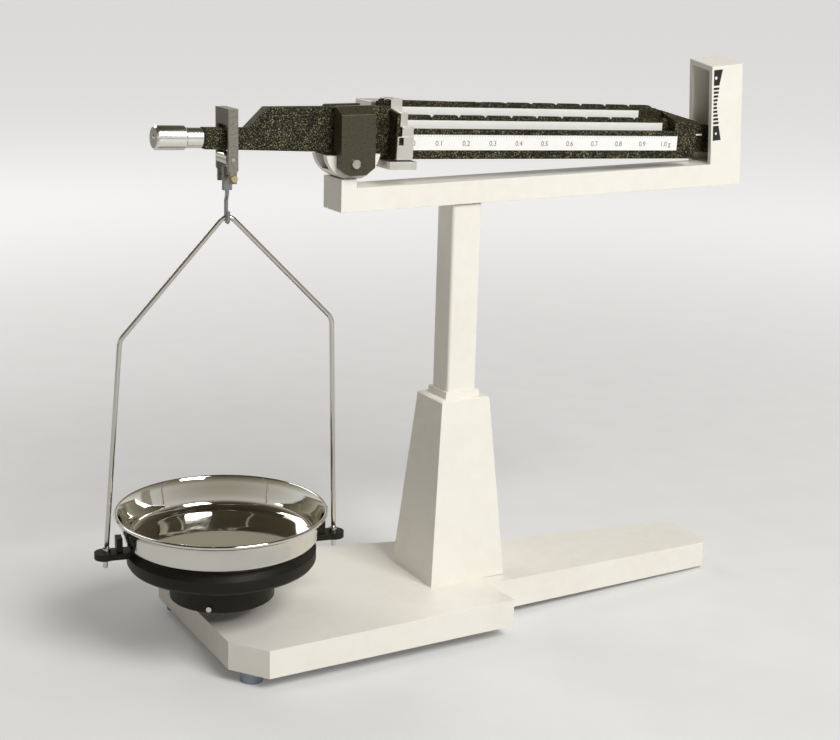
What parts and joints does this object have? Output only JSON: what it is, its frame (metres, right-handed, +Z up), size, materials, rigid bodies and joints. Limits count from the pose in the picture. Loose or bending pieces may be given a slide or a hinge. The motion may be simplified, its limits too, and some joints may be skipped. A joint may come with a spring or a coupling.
{
  "type": "single pan balance",
  "caption": "Single pan laboratory balance with a black four-bar beam and sliding poises on a cream column, base and index housing, and a polished pan hung on a wire bow.",
  "frame": {"origin": "centre of the whole box in plan, on the table plane under the feet", "axes": "+X along the beam from the pan towards the index housing, +Y to the rear, +Z up"},
  "size_m": [0.3602, 0.129, 0.2826],
  "materials": {
    "cream_enamel": "satin",
    "beam_enamel": "matte",
    "support_enamel": "satin",
    "grey_enamel": "satin",
    "nickel": "polished",
    "pan_steel": "polished",
    "steel": "satin",
    "brass": "satin",
    "rubber": "matte",
    "nylon": "matte",
    "agate": "polished",
    "scale_white": "satin"
  },
  "bodies": {
    "stand": {"base_plate": "cream_enamel", "fixed_feet": "rubber", "foot_screws": "steel", "levelling_bush": "brass", "pedestal": "cream_enamel", "column": "cream_enamel", "tie_rod": "steel", "tie_nut": "steel", "support_arm": "cream_enamel", "damper_magnets": "steel", "damper_bracket": "steel", "damper_screw": "steel", "bearing_block": "cream_enamel", "bearing_agates": "agate", "bearing_screw": "steel", "front_bearing_cover": "grey_enamel", "rear_bearing_cover": "grey_enamel", "cover_screws": "nickel"},
    "leveller": {"levelling_screw": "nickel"},
    "beam": {"beam_casting": "beam_enamel", "fulcrum_knife": "steel", "pan_knife": "steel", "knife_screws": "steel", "scale_plate_1g": "scale_white", "scale_plate_10g": "scale_white", "scale_plate_100g": "scale_white", "pointer_vane": "beam_enamel", "vane_screws": "steel", "zero_stud": "steel", "balance_plug": "brass"},
    "zero_nut": {"knob_bush": "nylon"},
    "zero_knob": {"zero_knob": "nickel"},
    "rider_1g": {"poise_1g": "nickel"},
    "rider_10g": {"poise_10g": "nickel"},
    "rider_100g": {"poise_100g": "nickel"},
    "rider_200g": {"poise_200g": "nickel"},
    "stirrup": {"stirrup": "grey_enamel", "stirrup_agates": "agate", "stirrup_pin": "brass", "stirrup_spacer": "nickel"},
    "hook": {"hook": "steel"},
    "bow": {"pan_bow": "nickel", "bow_collars": "nickel", "pan_support": "support_enamel", "support_screw": "nickel"},
    "pan": {"pan": "pan_steel"}
  },
  "joints": [
    {"name": "levelling_turn", "type": "hinge", "parent": "stand", "child": "leveller", "pos_m": [0.15284, -0.01481, 0.004], "axis": [0, 0, 1], "range_deg": [-720, 720]},
    {"name": "beam_tilt", "type": "hinge", "parent": "stand", "child": "beam", "pos_m": [-0.05686, -0.01255, 0.249], "axis": [0, -1, 0], "range_deg": [0, 7]},
    {"name": "zero_travel", "type": "slide", "parent": "beam", "child": "zero_nut", "axis": [-0.9993, 0, 0.0384], "range_m": [-0.001, 0.002]},
    {"name": "zero_turn", "type": "hinge", "parent": "zero_nut", "child": "zero_knob", "pos_m": [-0.14288, -0.01255, 0.2502], "axis": [-0.9993, 0, 0.0384], "range_deg": [-720, 1440]},
    {"name": "slide_1g", "type": "slide", "parent": "beam", "child": "rider_1g", "axis": [0.9993, 0, -0.0384], "range_m": [0, 0.152]},
    {"name": "slide_10g", "type": "slide", "parent": "beam", "child": "rider_10g", "axis": [0.9993, 0, -0.0384], "range_m": [0, 0.152]},
    {"name": "slide_100g", "type": "slide", "parent": "beam", "child": "rider_100g", "axis": [0.9993, 0, -0.0384], "range_m": [0, 0.152]},
    {"name": "slide_200g", "type": "slide", "parent": "beam", "child": "rider_200g", "axis": [0.9993, 0, -0.0384], "range_m": [0, 0.152]},
    {"name": "stirrup_swing", "type": "hinge", "parent": "beam", "child": "stirrup", "pos_m": [-0.11742, -0.01255, 0.25133], "axis": [0, 1, 0], "range_deg": [-5, 5]},
    {"name": "hook_swing", "type": "hinge", "parent": "stirrup", "child": "hook", "pos_m": [-0.11742, -0.01255, 0.23173], "axis": [0, 1, 0], "range_deg": [-4, 4]},
    {"name": "bow_swing", "type": "hinge", "parent": "hook", "child": "bow", "pos_m": [-0.11742, -0.01255, 0.21323], "axis": [0.9816, -0.1908, 0], "range_deg": [-5, 5]},
    {"name": "pan_lift", "type": "slide", "parent": "bow", "child": "pan", "axis": [0, 0, 1], "range_m": [0, 0.017]}
  ],
  "couplings": [
    {"joint": "zero_travel", "follows": "zero_turn", "m_per_rad": 0.000079577}
  ]
}
